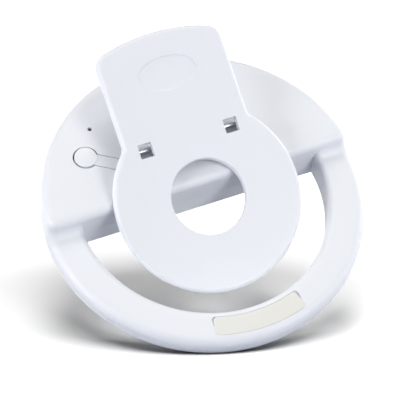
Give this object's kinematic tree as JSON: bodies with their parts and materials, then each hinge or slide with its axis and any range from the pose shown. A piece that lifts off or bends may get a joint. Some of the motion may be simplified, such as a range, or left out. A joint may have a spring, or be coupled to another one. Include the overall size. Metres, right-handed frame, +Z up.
{
  "type": "clip-on ring light",
  "caption": "Round clip-on selfie light with a D-shaped opening, a battery housing and a sprung lever clip with a lens hole.",
  "frame": {"origin": "on the ring's axis, in the plane of the lower ring's back face, which is pressed to the phone", "axes": "+Y along the ring's axis, the way the light shines; +Z up through the battery housing; +X to the right as seen from the clip side"},
  "size_m": [0.085, 0.0298, 0.085],
  "materials": {
    "white_shell": "satin white moulded plastic",
    "clear_cover": "frosted clear plastic",
    "white_board": "white solder mask",
    "led_body": "yellow phosphor in a white body",
    "chip_parts": "dark chip with tinned ends",
    "cream_pad": "smooth cream soft pad",
    "green_board": "green solder mask",
    "black_parts": "black moulded",
    "plated_steel": "nickel plated",
    "smoked_pipe": "smoked clear plastic",
    "foil_pouch": "matt laminated foil",
    "foam_tape": "white foam tape",
    "red_lead": "red insulation",
    "black_lead": "black insulation",
    "grey_pad": "soft clear grey pad",
    "spring_steel": "drawn wire",
    "dark_steel": "ground pin"
  },
  "bodies": {
    "root": {"rear_cover": "white_shell", "front_frame": "white_shell", "light_cover": "clear_cover", "light_board": "white_board", "leds": "led_body", "led_resistors": "chip_parts", "ring_pad": "cream_pad", "control_board": "green_board", "charger_chip": "black_parts", "driver_chip": "black_parts", "board_passives": "chip_parts", "board_screws": "plated_steel", "charge_led": "led_body", "light_pipe": "smoked_pipe", "switch_body": "black_parts", "socket_shell": "plated_steel", "socket_tongue": "black_parts", "battery_cell": "foil_pouch", "battery_tape": "foam_tape", "battery_protection_board": "green_board", "battery_lead_red": "red_lead", "battery_lead_black": "black_lead", "led_lead_red": "red_lead", "led_lead_black": "black_lead", "hinge_pin": "dark_steel", "torsion_spring": "spring_steel"},
    "clip": {"clip_lever": "white_shell", "clip_pad": "grey_pad"},
    "button": {"power_button": "white_shell"},
    "plunger": {"switch_plunger": "black_parts"}
  },
  "joints": [
    {"name": "clip_hinge", "type": "hinge", "parent": "root", "child": "clip", "pos_m": [0, -0.0072, 0.0149], "axis": [-1, 0, 0], "range_deg": [0, 28], "stiffness_Nm_per_rad": 0.2, "springref_deg": -40.11, "deforming": ["torsion_spring"]},
    {"name": "button_press", "type": "hinge", "parent": "root", "child": "button", "pos_m": [-0.01706, -0.00445, 0.01363], "axis": [-0.5402, 0, -0.8415], "range_deg": [0, 3], "stiffness_Nm_per_rad": 0.1},
    {"name": "plunger_travel", "type": "slide", "parent": "root", "child": "plunger", "axis": [0, 1, 0], "range_m": [0, 0.0006]}
  ],
  "couplings": [
    {"joint": "plunger_travel", "follows": "button_press", "m_per_rad": 0.0105}
  ]
}
